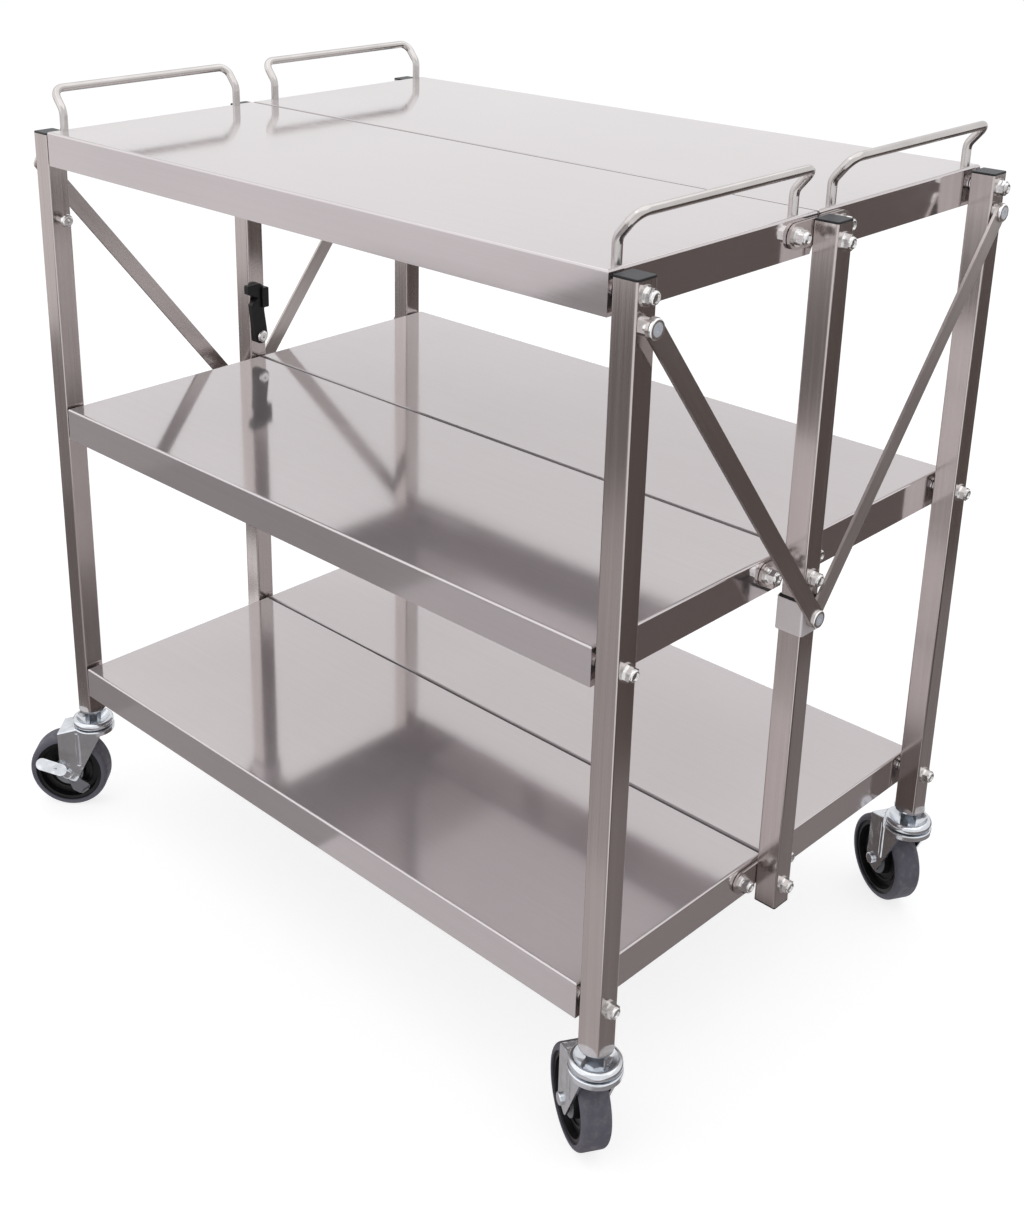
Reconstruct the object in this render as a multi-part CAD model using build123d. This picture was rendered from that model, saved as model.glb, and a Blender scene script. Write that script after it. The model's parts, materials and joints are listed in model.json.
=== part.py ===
from build123d import *
from math import atan2, cos, degrees, hypot, radians, sin
import os

# Folding trolley, in millimetres. X runs along the length with the front end at +X, Y runs across with
# the far side at +Y, Z is up and the floor is Z = 0. Near and far sides are mirror images, and so are
# the front and rear ends.

# Overall sizes
SHELF_LENGTH = 798.0
SHELF_WIDTH = 578.0
BOTTOM_RISE = 64.0
LOWER_SPACING = 345.0
UPPER_SPACING = 326.0

# Sheet metal of the trays
SHEET = 1.0
FLANGE_DEPTH = 38.0
SEAM_FLANGE_DEPTH = 22.0
SEAM_GAP = 2.0
TRAY_BEND = 2.4
TRAY_LIP = 8.0
CORNER_CUT = 8.0

# Posts
POST = 25.0
POST_WALL = 1.2
POST_CORNER = 2.0
POST_STANDOFF = 3.6
POST_TOP_DROP = 2.3
CENTRE_TOP_DROP = 4.0
CENTRE_FOOT_DROP = 48.5
CAP_THICK = 2.0
CAP_BOLT_GAP = 0.7
CAP_WALL = 2.0
CAP_CORNER = 1.0
CAP_EDGE = 0.6
PLUG_CLEARANCE = 0.2

# Pivots and their fasteners
PIVOT_DROP = 17.0
INNER_PIVOT = 36.0
PLATE_BOLT_DROP = 6.0
BOLT = 8.0
RUNNING_CLEARANCE = 0.08
FIXED_CLEARANCE = 0.1
FACE_GAP = 0.3
BOLT_HEAD = 13.0
BOLT_HEAD_THICK = 5.0
WASHER = 18.0
WASHER_THICK = 1.6
NUT_FLATS = 13.0
NUT_THICK = 5.6
NUT_COLLAR = 11.6
NUT_COLLAR_THICK = 2.4
NUT_DOME = 2.0
BOLT_TIP = 1.2
SPRING_WASHER = 14.6
SPRING_WASHER_THICK = 1.9
SPACER = 15.0
HINGE_PLATE = 3.0
HINGE_PLATE_HEIGHT = 24.0
SUNK_HEAD = 12.0
SUNK_HEAD_THICK = 1.6

# Braces and sleeves
BRACE_WIDTH = 19.0
BRACE_THICK = 3.0
BRACE_PIVOT_DROP = 41.3
BRACE_HEAD = 18.0
BRACE_HEAD_THICK = 2.5
BRACE_SOCKET = 5.0
BRACE_BUSH = 11.0
BRACE_BUSH_DEPTH = 9.0
SLEEVE_TOP_DROP = 46.0
SLEEVE_HEIGHT = 34.0
SLEEVE_WALL = 1.5
SLEEVE_CORNER = 3.5
LINER = 1.0
LINER_FLANGE = 1.2

# Handles
ROD = 9.0
HANDLE_INSET = 7.0
HANDLE_OUTER_EDGE = 18.0
HANDLE_SEAM_EDGE = 30.0
HANDLE_KINK = 22.0
HANDLE_LEAN = 18.0
HANDLE_HEIGHT = 44.0
HANDLE_BEND = 12.0
HANDLE_KINK_BEND = 14.0
HANDLE_SCREW = 5.0
HANDLE_SCREW_HEAD = 9.0
HANDLE_SCREW_HEAD_THICK = 3.0
HANDLE_SCREW_DEPTH = 12.0

# Latch and peg
LATCH_RISE = 27.7
LATCH_THICK = 8.0
LATCH_TAB_THICK = 11.0
LATCH_HALF_WIDTH = 10.0
LATCH_LENGTH = 69.0
LATCH_LEAN = 4.5
LATCH_REACH = 20.0
LATCH_FINGER = 11.0
LATCH_NOTCH_DEPTH = 4.5
LATCH_NOTCH_RISE = 51.0
LATCH_NOSE_DROP = 8.0
LATCH_TAB_DROP = 5.0
LATCH_TAB_HEIGHT = 26.0
LATCH_TAB_OUT = 5.0
LATCH_ROUND = 1.5
LATCH_EDGE = 0.6
LATCH_HOLE = 6.0
LATCH_HEAD = 15.0
LATCH_HEAD_THICK = 3.5
LATCH_SCREW_DEPTH = 8.0
PEG_DROP = 101.0
PEG = 8.0
PEG_LENGTH = 10.0
PEG_HEAD = 15.0
PEG_HEAD_THICK = 4.0
PEG_TAIL = 6.0
HEX_SOCKET = 4.0

# Casters
WHEEL = 100.0
WHEEL_WIDTH = 30.0
TRAIL = 33.0
CASTER_HEIGHT = 139.0
CORE = 85.0
CORE_WIDTH = 26.0
CORE_WEB = 12.0
CORE_RIM = 5.0
CORE_DRAFT = 1.5
CORE_BEAD = 56.0
CORE_BEAD_WIDTH = 3.0
CORE_BEAD_HEIGHT = 1.5
HUB = 38.0
HUB_SIDE_GAP = 3.2
TYRE_SHOULDER = 5.5
BOND_GAP = 0.02
AXLE = 8.0
AXLE_HEAD = 13.0
AXLE_HEAD_THICK = 3.5
FORK_SHEET = 2.5
FORK_SIDE_GAP = 2.0
FORK_TOP_GAP = 8.5
FORK_CROWN = 6.0
FORK_LEVEL = 20.0
FORK_SLOPE = 7.0
FORK_EDGE = 9.5
FORK_HEEL_DROP = 3.0
FORK_TIP_AHEAD = 10.0
FORK_TIP_DROP = 13.0
FORK_TOE = 14.0
FORK_HEEL_ROUND = 7.0
FORK_TIP_ROUND = 5.0
FORK_BEND = 2.2
RIB = 8.0
RIB_PROUD = 1.8
RIB_AHEAD = 16.0
RIB_LENGTH = 44.0
CROWN_DISC = 53.0
CROWN_ROUND = 1.6
RING = 52.0
RING_HEIGHT = 10.0
RING_ROLL = 5.0
DISH_FLOOR = 22.0
DISH_FLOOR_HEIGHT = 1.8
DISH_SAG = 1.0
SWIVEL_GAP = 0.4
KING_PIN = 10.0
KING_RIVET = 16.0
KING_RIVET_THICK = 3.0
STEM_FLATS = 17.0
STEM_COLLAR = 14.0
STEM_COLLAR_HEIGHT = 4.0
STEM = 10.0
STEM_DEPTH = 20.0
INSERT_FLANGE = 34.0
INSERT_FLANGE_THICK = 2.5
INSERT_DEPTH = 24.0
LEVER_SHEET = 2.0
LEVER_SIDE_GAP = 0.5
LEVER_BOSS = 10.0
BLADE_BACK = 5.0
BLADE_DROP = 31.0
BLADE_AHEAD = 30.0
BLADE_TOE_DROP = 19.0
BLADE_WIDTH = 15.0
BLADE_ROUND = 4.0
TOE_LIP = 6.0
PEDAL_LENGTH = 40.0
PEDAL_WIDTH = 15.0
PEDAL_BEHIND = 18.0
PEDAL_LIFT = 13.0
PEDAL_OUT = 8.0
PEDAL_RISE = 18.0
PEDAL_TILT = 45.0

# Directions in which the casters trail, in degrees from +X towards +Y
CASTER_TURN = {"near_front": 150.0, "near_rear": 222.0, "far_front": 152.0, "far_rear": 196.0}
BRAKED = ("near_rear", "far_rear")

# Worked-out places
BOTTOM_HEIGHT = CASTER_HEIGHT + BOTTOM_RISE
MIDDLE_HEIGHT = BOTTOM_HEIGHT + LOWER_SPACING
TOP_HEIGHT = MIDDLE_HEIGHT + UPPER_SPACING
LEVELS = {"top": TOP_HEIGHT, "middle": MIDDLE_HEIGHT, "bottom": BOTTOM_HEIGHT}
TRAY_END = SHELF_LENGTH / 2
TRAY_SIDE = SHELF_WIDTH / 2
TRAY_WIDTH = TRAY_SIDE - SEAM_GAP / 2
POST_IN = TRAY_END + POST_STANDOFF
POST_X = POST_IN + POST / 2
POST_OUT = POST_IN + POST
POST_Y = TRAY_SIDE - POST / 2
CORNER_TOP = TOP_HEIGHT - POST_TOP_DROP - CAP_THICK
CENTRE_TOP = TOP_HEIGHT - CENTRE_TOP_DROP - CAP_THICK
CENTRE_FOOT = BOTTOM_HEIGHT - CENTRE_FOOT_DROP + CAP_THICK
CAP_DEPTH = PIVOT_DROP - BOLT / 2 - POST_TOP_DROP - CAP_THICK - CAP_BOLT_GAP
RUNNING_HOLE = BOLT + 2 * RUNNING_CLEARANCE
FIXED_HOLE = BOLT + 2 * FIXED_CLEARANCE
TUBE_INSIDE = POST - 2 * POST_WALL
BRACE_PIVOT_Z = TOP_HEIGHT - BRACE_PIVOT_DROP
SLEEVE_TOP = MIDDLE_HEIGHT - SLEEVE_TOP_DROP
SLEEVE_PIN_Z = SLEEVE_TOP - SLEEVE_HEIGHT / 2
LINER_INSIDE = POST + 2 * FACE_GAP
SLEEVE_INSIDE = LINER_INSIDE + 2 * LINER
SLEEVE_OUTSIDE = SLEEVE_INSIDE + 2 * SLEEVE_WALL
FAR_BRACE_X = POST_X + SLEEVE_OUTSIDE / 2 + FACE_GAP
NEAR_BRACE_X = FAR_BRACE_X + BRACE_THICK + FACE_GAP
BRACE_DROP = BRACE_PIVOT_Z - SLEEVE_PIN_Z
BRACE_LENGTH = hypot(POST_Y, BRACE_DROP)
BRACE_ANGLE = degrees(atan2(POST_Y, BRACE_DROP))
LATCH_Z = MIDDLE_HEIGHT + LATCH_RISE
PEG_Z = TOP_HEIGHT - PEG_DROP
AXLE_Z = WHEEL / 2
FORK_IN = WHEEL_WIDTH / 2 + FORK_SIDE_GAP
FORK_OUT = FORK_IN + FORK_SHEET
CROWN_UNDER = WHEEL + FORK_TOP_GAP
CROWN_TOP = CROWN_UNDER + FORK_CROWN
RING_UNDER = CROWN_TOP + SWIVEL_GAP
RING_TOP = RING_UNDER + RING_HEIGHT
STEM_SHOULDER = CASTER_HEIGHT - INSERT_FLANGE_THICK


def block(x0, x1, y0, y1, z0, z1):
    """A box between two opposite corners."""
    return Pos((x0 + x1) / 2, (y0 + y1) / 2, (z0 + z1) / 2) * Box(x1 - x0, y1 - y0, z1 - z0)


def rod_x(diameter, x0, x1, y, z):
    """A round bar along X."""
    return Pos((x0 + x1) / 2, y, z) * Rot(0, 90, 0) * Cylinder(diameter / 2, x1 - x0)


def rod_y(diameter, y0, y1, x, z):
    """A round bar along Y."""
    return Pos(x, (y0 + y1) / 2, z) * Rot(90, 0, 0) * Cylinder(diameter / 2, y1 - y0)


def rod_z(diameter, z0, z1, x=0.0, y=0.0):
    """A round bar along Z."""
    return Pos(x, y, (z0 + z1) / 2) * Cylinder(diameter / 2, z1 - z0)


def hexagon_x(flats, x0, x1, y, z):
    """A hexagonal bar along X, given its width across flats."""
    outline = Plane(origin=(x0, y, z), z_dir=(1, 0, 0)) * RegularPolygon(flats / 2, 6, major_radius=False)
    return extrude(outline, x1 - x0, dir=(1, 0, 0))


def slab_x(points, x0, x1):
    """A flat plate across X with an outline of (y, z) points."""
    outline = make_face(Polyline(*[(x0, y, z) for y, z in points], close=True))
    return extrude(outline, x1 - x0, dir=(1, 0, 0))


def square_bar(side, corner, z0, z1):
    """A square bar with rounded corners, standing on the Z axis."""
    return extrude(Pos(0, 0, z0) * RectangleRounded(side, side, corner), z1 - z0)


def far(shape):
    """The same piece on the far side."""
    return mirror(shape, about=Plane.XZ)


def rear(shape):
    """The same piece on the rear end."""
    return mirror(shape, about=Plane.YZ)


def both_ends(shapes):
    """Front pieces and their rear twins."""
    return shapes + [rear(shape) for shape in shapes]


def near_tray(level):
    """One near half tray, bent from sheet, with its top face at the level's height."""
    top = LEVELS[level]
    foot = top - FLANGE_DEPTH
    seam = -SEAM_GAP / 2
    body = block(-TRAY_END, TRAY_END, -TRAY_SIDE, seam, foot, top)
    body = fillet(body.faces().sort_by(Axis.Z)[-1].edges(), TRAY_BEND)
    hollow = block(
        -TRAY_END + SHEET, TRAY_END - SHEET, -TRAY_SIDE + SHEET, seam - SHEET, foot + SHEET, top - SHEET
    )
    hollow = fillet(hollow.faces().sort_by(Axis.Z)[-1].edges(), TRAY_BEND - SHEET)
    mouth = block(
        -TRAY_END + TRAY_LIP,
        TRAY_END - TRAY_LIP,
        -TRAY_SIDE + TRAY_LIP,
        seam - SHEET,
        foot - SHEET,
        foot + 2 * SHEET,
    )
    seam_foot = top - SEAM_FLANGE_DEPTH
    corner = slab_x(
        [
            (seam + SHEET, seam_foot),
            (seam, seam_foot),
            (seam - CORNER_CUT, foot),
            (seam - CORNER_CUT, foot - SHEET),
            (seam + SHEET, foot - SHEET),
        ],
        -TRAY_END - SHEET,
        TRAY_END + SHEET,
    )
    tray = body - hollow - mouth - corner
    for y in (-POST_Y, -INNER_PIVOT):
        tray -= rod_x(RUNNING_HOLE, -TRAY_END - SHEET, TRAY_END + SHEET, y, top - PIVOT_DROP)
    if level == "top":
        for x, y in handle_feet():
            tray -= rod_z(HANDLE_SCREW + 2 * FIXED_CLEARANCE, top - TRAY_BEND, top + SHEET, x, y)
    return tray


def handle_feet():
    """Where the legs of the near handles stand on the top tray."""
    leg_x = TRAY_END - HANDLE_INSET
    outer_y = -TRAY_SIDE + HANDLE_OUTER_EDGE
    seam_y = -HANDLE_SEAM_EDGE
    return [(leg_x, outer_y), (leg_x, seam_y), (-leg_x, outer_y), (-leg_x, seam_y)]


def near_handle():
    """The near front handle: upright legs that lean outwards to a straight rail."""
    (leg_x, outer_y), (_, seam_y) = handle_feet()[:2]
    rail_x = leg_x + HANDLE_LEAN
    kink_z = TOP_HEIGHT + HANDLE_KINK
    rail_z = TOP_HEIGHT + HANDLE_HEIGHT
    path = FilletPolyline(
        (leg_x, outer_y, TOP_HEIGHT),
        (leg_x, outer_y, kink_z),
        (rail_x, outer_y, rail_z),
        (rail_x, seam_y, rail_z),
        (leg_x, seam_y, kink_z),
        (leg_x, seam_y, TOP_HEIGHT),
        radius=[HANDLE_KINK_BEND, HANDLE_BEND, HANDLE_BEND, HANDLE_KINK_BEND],
    )
    rod = sweep(Plane(origin=path @ 0, z_dir=path % 0) * Circle(ROD / 2), path=path)
    hole = HANDLE_SCREW + 2 * FIXED_CLEARANCE
    for x, y in handle_feet()[:2]:
        rod -= rod_z(hole, TOP_HEIGHT - SHEET, TOP_HEIGHT + HANDLE_SCREW_DEPTH, x, y)
    return rod


def handle_screws():
    """Screws that hold the near handles from under the tray."""
    screws = []
    head_top = TOP_HEIGHT - SHEET
    for x, y in handle_feet():
        shank = rod_z(HANDLE_SCREW, head_top, head_top + HANDLE_SCREW_DEPTH, x, y)
        head = rod_z(HANDLE_SCREW_HEAD, head_top - HANDLE_SCREW_HEAD_THICK, head_top, x, y)
        screws.append(shank + head)
    return screws


def post_tube(z0, z1):
    """A plain square tube on the Z axis."""
    bore = square_bar(TUBE_INSIDE, POST_CORNER - POST_WALL, z0 - SHEET, z1 + SHEET)
    return square_bar(POST, POST_CORNER, z0, z1) - bore


def near_post():
    """The near front corner post, drilled for its three shelf pivots and its brace bush."""
    tube = Pos(POST_X, -POST_Y, 0) * post_tube(CASTER_HEIGHT, CORNER_TOP)
    for top in LEVELS.values():
        tube -= rod_x(FIXED_HOLE, POST_IN - SHEET, POST_OUT + SHEET, -POST_Y, top - PIVOT_DROP)
    bush_hole = BRACE_BUSH + 2 * FIXED_CLEARANCE
    return tube - rod_x(bush_hole, POST_X, POST_OUT + SHEET, -POST_Y, BRACE_PIVOT_Z)


def near_rear_post():
    """The near rear corner post, which also carries the peg."""
    hole = PEG_TAIL + 2 * FIXED_CLEARANCE
    return rear(near_post()) - rod_x(hole, -POST_X, -POST_IN + SHEET, -POST_Y, PEG_Z)


def centre_post():
    """The front centre post, drilled for the bolts of its three hinge plates."""
    tube = Pos(POST_X, 0, 0) * post_tube(CENTRE_FOOT, CENTRE_TOP)
    for top in LEVELS.values():
        tube -= rod_x(FIXED_HOLE, POST_IN - SHEET, POST_OUT + SHEET, 0, top - PIVOT_DROP - PLATE_BOLT_DROP)
    return tube


def rear_centre_post():
    """The rear centre post, which also carries the latch."""
    hole = LATCH_HOLE + 2 * FIXED_CLEARANCE
    return rear(centre_post()) - rod_x(hole, -POST_X, -POST_IN + SHEET, 0, LATCH_Z)


def post_cap(x, y, z, up):
    """A moulded cap that closes a tube end at height z, facing up or down."""
    plate = square_bar(POST, POST_CORNER, 0, CAP_THICK)
    plate = chamfer(plate.faces().sort_by(Axis.Z)[-1].edges(), CAP_EDGE)
    spigot_side = TUBE_INSIDE - 2 * PLUG_CLEARANCE
    spigot = square_bar(spigot_side, CAP_CORNER, -CAP_DEPTH, 0)
    hollow = square_bar(spigot_side - 2 * CAP_WALL, CAP_CORNER / 2, -CAP_DEPTH - CAP_WALL, -CAP_WALL)
    cap = plate + (spigot - hollow)
    if not up:
        cap = mirror(cap, about=Plane.XY)
    return Pos(x, y, z) * cap


def nut(x, y, z):
    """A collared nut on the +X side of x, with the bolt's tip just short of the collar's end."""
    body = hexagon_x(NUT_FLATS, x, x + NUT_THICK, y, z)
    collar_end = x + NUT_THICK + NUT_COLLAR_THICK
    collar = rod_x(NUT_COLLAR, x + NUT_THICK, collar_end, y, z)
    collar = fillet(collar.faces().sort_by(Axis.X)[-1].edges(), NUT_DOME)
    return body + collar - rod_x(FIXED_HOLE, x - SHEET, collar_end + SHEET, y, z)


def ring_x(outside, inside, x0, x1, y, z):
    """A flat ring along X."""
    return rod_x(outside, x0, x1, y, z) - rod_x(inside, x0 - SHEET, x1 + SHEET, y, z)


def washer_nut_end(face):
    """X of a bolt tip when its washer and nut sit on a face."""
    return face + WASHER_THICK + NUT_THICK + NUT_COLLAR_THICK - BOLT_TIP


def washer_and_nut(face, y, z):
    """A washer and a collared nut on a face across X."""
    return [
        ring_x(WASHER, FIXED_HOLE, face, face + WASHER_THICK, y, z),
        nut(face + WASHER_THICK, y, z),
    ]


def pivot_bolt(tip, y, z):
    """A bolt whose head lies behind the tray's end flange, with its tip at the given X."""
    head_face = TRAY_END - SHEET - FACE_GAP
    head = rod_x(BOLT_HEAD, head_face - BOLT_HEAD_THICK, head_face, y, z)
    return head + rod_x(BOLT, head_face, tip, y, z)


def near_pivots():
    """Bolt, spacer, washer and nut of each near corner pivot."""
    pieces = []
    for top in LEVELS.values():
        z = top - PIVOT_DROP
        pieces.append(pivot_bolt(washer_nut_end(POST_OUT), -POST_Y, z))
        pieces.append(ring_x(SPACER, FIXED_HOLE, TRAY_END + 2 * FACE_GAP, POST_IN, -POST_Y, z))
        pieces += washer_and_nut(POST_OUT, -POST_Y, z)
    return both_ends(pieces)


def hinge_plates():
    """The front and rear plates that join the half trays' inner ends to the centre posts."""
    plates = []
    for top in LEVELS.values():
        z = top - PIVOT_DROP
        seat = Plane(origin=(POST_IN - HINGE_PLATE, 0, z), x_dir=(0, 1, 0), z_dir=(1, 0, 0))
        plate = extrude(seat * SlotCenterToCenter(2 * INNER_PIVOT, HINGE_PLATE_HEIGHT), HINGE_PLATE)
        for y in (-INNER_PIVOT, INNER_PIVOT):
            plate -= rod_x(FIXED_HOLE, TRAY_END, POST_OUT, y, z)
        bolt_z = z - PLATE_BOLT_DROP
        plate -= rod_x(FIXED_HOLE, TRAY_END, POST_OUT, 0, bolt_z)
        recess = POST_IN - HINGE_PLATE + SUNK_HEAD_THICK + FIXED_CLEARANCE
        plate -= rod_x(SUNK_HEAD + 2 * FIXED_CLEARANCE, TRAY_END, recess, 0, bolt_z)
        plates.append(plate)
    return both_ends(plates)


def inner_pivots():
    """Bolt, washer and nut of each inner pivot of the hinge plates."""
    pieces = []
    for top in LEVELS.values():
        for y in (-INNER_PIVOT, INNER_PIVOT):
            z = top - PIVOT_DROP
            ring_end = POST_IN + SPRING_WASHER_THICK
            pieces.append(pivot_bolt(washer_nut_end(ring_end), y, z))
            pieces.append(ring_x(WASHER, FIXED_HOLE, POST_IN, POST_IN + WASHER_THICK, y, z))
            spring_x = POST_IN + WASHER_THICK
            spring_end = ring_end + WASHER_THICK
            pieces.append(ring_x(SPRING_WASHER, FIXED_HOLE, spring_x, spring_end, y, z))
            pieces.append(nut(spring_end, y, z))
    return both_ends(pieces)


def plate_bolts():
    """Sunk bolt, washer and nut that hold each hinge plate on its centre post."""
    pieces = []
    for top in LEVELS.values():
        z = top - PIVOT_DROP - PLATE_BOLT_DROP
        head_x = POST_IN - HINGE_PLATE + FIXED_CLEARANCE
        head = rod_x(SUNK_HEAD, head_x, head_x + SUNK_HEAD_THICK, 0, z)
        pieces.append(head + rod_x(BOLT, head_x, washer_nut_end(POST_OUT), 0, z))
        pieces += washer_and_nut(POST_OUT, 0, z)
    return both_ends(pieces)


def low_head(x, y, z):
    """A large low head on the +X side of x, with rounded rim and a hexagon socket."""
    head = rod_x(BRACE_HEAD, x, x + BRACE_HEAD_THICK, y, z)
    head = fillet(head.faces().sort_by(Axis.X)[-1].edges(), BRACE_HEAD_THICK / 2)
    return head - hexagon_x(BRACE_SOCKET, x + BRACE_HEAD_THICK / 2, x + 2 * BRACE_HEAD_THICK, y, z)


def brace_pivots(brace_x):
    """Bush in the near front post's wall, and the bolt on which a brace at brace_x turns."""
    z = BRACE_PIVOT_Z
    bush = rod_x(SPACER, POST_OUT, brace_x - FACE_GAP, -POST_Y, z)
    bush += rod_x(BRACE_BUSH, POST_OUT - BRACE_BUSH_DEPTH, POST_OUT, -POST_Y, z)
    bush -= rod_x(FIXED_HOLE, POST_X - POST, brace_x, -POST_Y, z)
    head_x = brace_x + BRACE_THICK + FACE_GAP
    bolt = rod_x(BOLT, POST_OUT - BRACE_BUSH_DEPTH, head_x, -POST_Y, z) + low_head(head_x, -POST_Y, z)
    return both_ends([bush, bolt])


def near_brace(brace_x):
    """A flat bar with round ends from the near front post down to the centre sleeve."""
    middle = ((POST_Y / 2), (BRACE_PIVOT_Z + SLEEVE_PIN_Z) / 2)
    lie = (0, sin(radians(BRACE_ANGLE)), -cos(radians(BRACE_ANGLE)))
    seat = Plane(origin=(brace_x, -middle[0], middle[1]), x_dir=lie, z_dir=(1, 0, 0))
    bar = extrude(seat * SlotCenterToCenter(BRACE_LENGTH, BRACE_WIDTH), BRACE_THICK)
    bar -= rod_x(RUNNING_HOLE, brace_x - SHEET, brace_x + BRACE_THICK + SHEET, -POST_Y, BRACE_PIVOT_Z)
    return bar - rod_x(FIXED_HOLE, brace_x - SHEET, brace_x + BRACE_THICK + SHEET, 0, SLEEVE_PIN_Z)


def brace_pins():
    """The pins at the braces' lower ends, seated in the near braces."""
    head_x = NEAR_BRACE_X + BRACE_THICK
    pin = rod_x(BOLT, NEAR_BRACE_X, head_x, 0, SLEEVE_PIN_Z) + low_head(head_x, 0, SLEEVE_PIN_Z)
    return both_ends([pin])


def sleeve():
    """The front sleeve, a bent sheet box that slides on the centre post."""
    foot = SLEEVE_TOP - SLEEVE_HEIGHT
    box = square_bar(SLEEVE_OUTSIDE, SLEEVE_CORNER, foot, SLEEVE_TOP)
    bore = square_bar(SLEEVE_INSIDE, SLEEVE_CORNER - SLEEVE_WALL, foot - SHEET, SLEEVE_TOP + SHEET)
    return Pos(POST_X, 0, 0) * (box - bore)


def sleeve_liner():
    """The plastic liner of the front sleeve, with a flange on the sleeve's top edge."""
    foot = SLEEVE_TOP - SLEEVE_HEIGHT
    rim = SLEEVE_TOP + LINER_FLANGE
    body = square_bar(SLEEVE_INSIDE - BOND_GAP, SLEEVE_CORNER - SLEEVE_WALL, foot, rim)
    flange = square_bar(SLEEVE_OUTSIDE - SLEEVE_WALL, SLEEVE_CORNER, SLEEVE_TOP, rim)
    bore = square_bar(LINER_INSIDE, POST_CORNER, foot - SHEET, rim + SHEET)
    return Pos(POST_X, 0, 0) * (body + flange - bore)


def latch():
    """The hook on the inner face of the rear centre post: nose, notch, finger and thumb tab."""
    half = LATCH_HALF_WIDTH
    x0 = -POST_IN + FACE_GAP
    shoulder = LATCH_LENGTH - LATCH_TAB_DROP - LATCH_TAB_HEIGHT
    outline = [
        (half, 0),
        (half - LATCH_LEAN, shoulder - LATCH_TAB_OUT),
        (half - LATCH_LEAN, LATCH_LENGTH - LATCH_TAB_DROP),
        (half - 2 * LATCH_LEAN, LATCH_LENGTH),
        (-LATCH_REACH, LATCH_LENGTH),
        (-LATCH_REACH, LATCH_LENGTH - LATCH_FINGER),
        (-LATCH_NOTCH_DEPTH, LATCH_NOTCH_RISE),
        (-half - LATCH_LEAN, LATCH_NOTCH_RISE - LATCH_NOSE_DROP),
        (-half, 0),
    ]
    face = make_face(Polyline(*outline, close=True))
    tips = [v for v in face.vertices() if v.Y > half and v.X < 0 and v.Y != LATCH_NOTCH_RISE]
    face = fillet(tips, LATCH_ROUND)
    face += Circle(half)
    seat = Plane(origin=(x0, 0, LATCH_Z), x_dir=(0, 1, 0), z_dir=(1, 0, 0))
    body = extrude(seat * face, LATCH_THICK)
    body = chamfer(body.faces().sort_by(Axis.X)[-1].edges(), LATCH_EDGE)
    tab_y = half - LATCH_LEAN
    tab_foot = LATCH_Z + shoulder
    tab_top = tab_foot + LATCH_TAB_HEIGHT
    tab = block(x0, x0 + LATCH_TAB_THICK, tab_y - LATCH_TAB_OUT, tab_y + LATCH_TAB_OUT, tab_foot, tab_top)
    body += fillet(tab.edges().filter_by(Axis.X), LATCH_ROUND)
    hole = LATCH_HOLE + 2 * RUNNING_CLEARANCE
    return body - rod_x(hole, x0 - SHEET, x0 + LATCH_TAB_THICK, 0, LATCH_Z)


def button_head(diameter, thick, x, y, z):
    """A domed screw head on the +X side of x, with a hexagon socket."""
    head = rod_x(diameter, x, x + thick, y, z)
    head = fillet(head.faces().sort_by(Axis.X)[-1].edges(), 0.7 * thick)
    return head - hexagon_x(HEX_SOCKET, x + thick / 2, x + 2 * thick, y, z)


def latch_screw():
    """The screw on which the latch turns."""
    head_x = -POST_IN + 2 * FACE_GAP + LATCH_THICK
    shank = rod_x(LATCH_HOLE, -POST_IN - LATCH_SCREW_DEPTH, head_x, 0, LATCH_Z)
    return shank + button_head(LATCH_HEAD, LATCH_HEAD_THICK, head_x, 0, LATCH_Z)


def peg():
    """The headed peg on the inner face of the near rear post."""
    head_x = -POST_IN + PEG_LENGTH
    body = rod_x(PEG, -POST_IN, head_x, -POST_Y, PEG_Z)
    body += rod_x(PEG_TAIL, -POST_IN - LATCH_SCREW_DEPTH, -POST_IN, -POST_Y, PEG_Z)
    return body + button_head(PEG_HEAD, PEG_HEAD_THICK, head_x, -POST_Y, PEG_Z)


def post_insert():
    """The plug in a corner post's foot, with a round flange and a bore for the caster's stem."""
    side = TUBE_INSIDE - 2 * PLUG_CLEARANCE
    plug = square_bar(side, CAP_CORNER, CASTER_HEIGHT, CASTER_HEIGHT + INSERT_DEPTH)
    flange = rod_z(INSERT_FLANGE, STEM_SHOULDER, CASTER_HEIGHT)
    flange = fillet(flange.faces().sort_by(Axis.Z)[0].edges(), INSERT_FLANGE_THICK / 2)
    bore = rod_z(STEM + 2 * FIXED_CLEARANCE, STEM_SHOULDER - SHEET, CASTER_HEIGHT + INSERT_DEPTH + SHEET)
    return plug + flange - bore


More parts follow.
